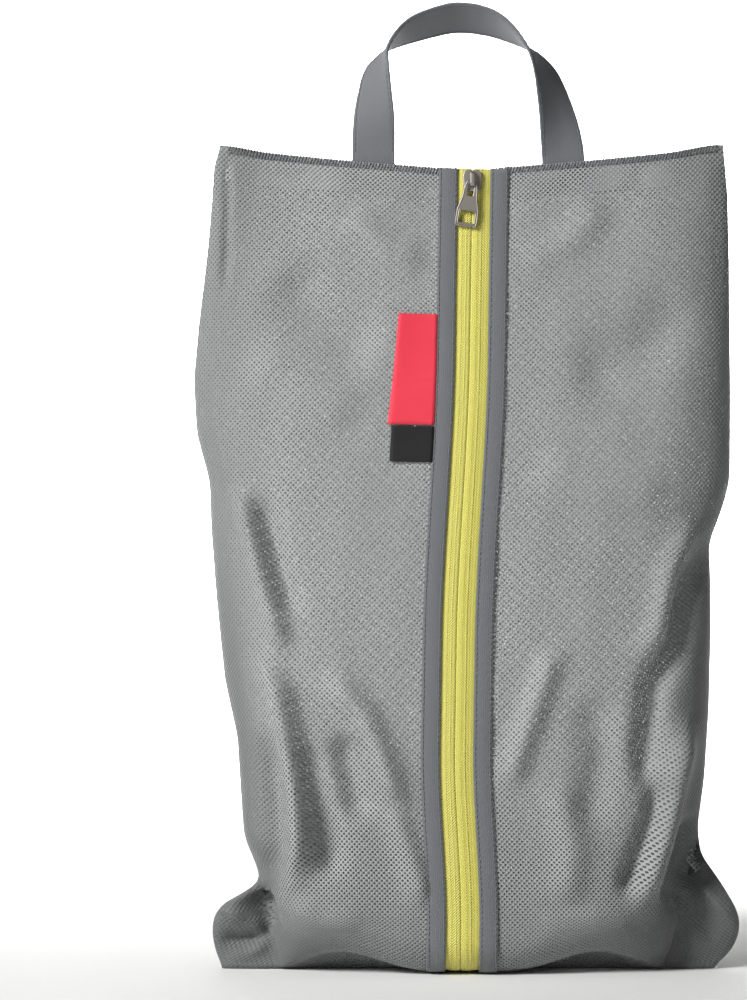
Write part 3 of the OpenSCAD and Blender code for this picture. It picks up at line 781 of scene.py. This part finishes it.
line = curve_through(handle_stops, 240)
centre = np.stack([line[:, 0], np.full(240, TOP_Y), 395.43 + line[:, 1]], 1)
run = np.gradient(centre, axis=0)
run /= np.linalg.norm(run, axis=1, keepdims=True)
turn = np.radians(line[:, 2:3])
width = np.stack([run[:, 2], run[:, 0] * 0, -run[:, 0]], 1) * np.cos(turn)
width = width + np.array([0, 1, 0]) * np.sin(turn)
face = np.cross(run, width)
along = np.concatenate([[0], np.cumsum(np.linalg.norm(np.diff(centre, axis=0), axis=1))])
half = [(10.5, 0.0), (10.4, 0.45), (10.0, 0.72), (9.5, 0.74), (9.0, 0.6), (8.5, 0.72), (7.5, 0.78), (4, 0.8),
        (0, 0.8), (-4, 0.8), (-7.5, 0.78), (-8.5, 0.72), (-9.0, 0.6), (-9.5, 0.74), (-10.0, 0.72),
        (-10.4, 0.45)]
section = np.array(half + [(-x, -y) for x, y in half])
points = (centre[:, None] + width[:, None] * section[None, :, :1] + face[:, None] * section[None, :, 1:])
cloth = np.stack([np.tile(section[:, 0], (240, 1)), np.repeat(along[:, None], len(section), 1),
                  np.zeros((240, len(section)))], 2)
# Polyester twill, folded: matt, with fine diagonal ribs drawn wide enough to show.
webbing = woven("polyester twill strap", "#6E7074", (0.8, 0.65), 0.12, 0.6, Roughness=0.75)
strap = piece("handle_strap_twill", points.reshape(-1, 3), grid_faces(240, len(section), True)
              + [tuple(range(len(section)))[::-1], tuple(range(239 * len(section), 240 * len(section)))],
              webbing, cloth.reshape(-1, 3))
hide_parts("handle_strap")
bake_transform(strap)
strap_thread = material("spun polyester thread, strap", "#5F6165", Roughness=0.5, Sheen_Weight=0.2)
for edge in (-1, 1):
    for front in (-1, 1):
        at = np.arange(14, along[-1] - 14, 3.0)
        ends = []
        for shift in (0, 2.6):
            where = [np.stack([np.interp(at + shift, along, v[:, k]) for k in range(3)], 1)
                     for v in (centre, width, face)]
            ends.append((where[0] + where[1] * 9.0 * edge + where[2] * 0.66 * front, where[2] * front))
        row = threads(f"handle_thread_{'outer' if edge > 0 else 'inner'}_{'back' if front > 0 else 'front'}",
                      ends[0][0], ends[1][0], ends[0][1], strap_thread, 0.24, 0.2)
        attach(row, "handle")


# Side labels: folded woven labels held in the left binding's outer seam, a tall red one and a small black
# one below it. Both are plain.
def label(name, low, left, right, lift, surface):
    """Folded label in the zip's frame. low, left and right give its z range and its edges at both ends."""
    rows, columns = 28, 12
    points, cloth = [], []
    for i in range(rows):
        k = i / (rows - 1)
        z = mix(low[1], low[0], k)
        x0, x1 = mix(right[1], right[0], k), mix(left[1], left[0], k)
        path = [(mix(x0, x1, j / columns), -1) for j in range(columns + 1)]
        path += [(x, 1) for x, _ in path[::-1]]
        ring = []
        for inner in (0, 1):
            for x, layer in (path if not inner else path[::-1]):
                share = (x - x0) / (x1 - x0)
                wave = lift * share ** 2 * (0.6 + 0.4 * math.cos(3.2 * k + 0.4))
                wave += 0.25 * math.sin(9 * k) * share
                crease = -0.5 * math.exp(-((k - 0.1) / 0.05) ** 2) * share
                thick = (0.36 - 0.27 * inner) * min(1, 3.5 * (1 - share) ** 0.5 + 0.25)
                ring.append((x, -0.72 - wave - crease + layer * thick, z))
                cloth.append((x, z, 0))
        points += ring
    n = len(points) // rows
    caps = []
    for base, flip in ((0, 1), (n * (rows - 1), -1)):
        for j in range(n // 2 - 1):
            caps.append(tuple(base + v for v in (j, j + 1, n - 2 - j, n - 1 - j))[::-flip])
    return piece(name, on_zip(np.array(points)), grid_faces(rows, n, True) + caps, surface, cloth)


# Dense damask woven polyester: nearly smooth, in strong flat colours.
red_cloth = woven("woven polyester label, red", "#E8354A", (0.5, 0.55), 0.06, 0.0, Roughness=0.6)
black_cloth = woven("woven polyester label, black", "#131314", (0.5, 0.55), 0.06, 0.0, Roughness=0.75,
                    Sheen_Weight=0.03)
red = label("red_label_woven", (-135.6, -81.2), (-38.9, -35.0), (-16.0, -16.0), 1.6, red_cloth)
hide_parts("red_label")
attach(red, "red_tag")
black = label("black_label_woven", (-153.9, -136.4), (-37.0, -37.0), (-16.0, -16.0), 0.8, black_cloth)
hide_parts("black_label")
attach(black, "black_tag")
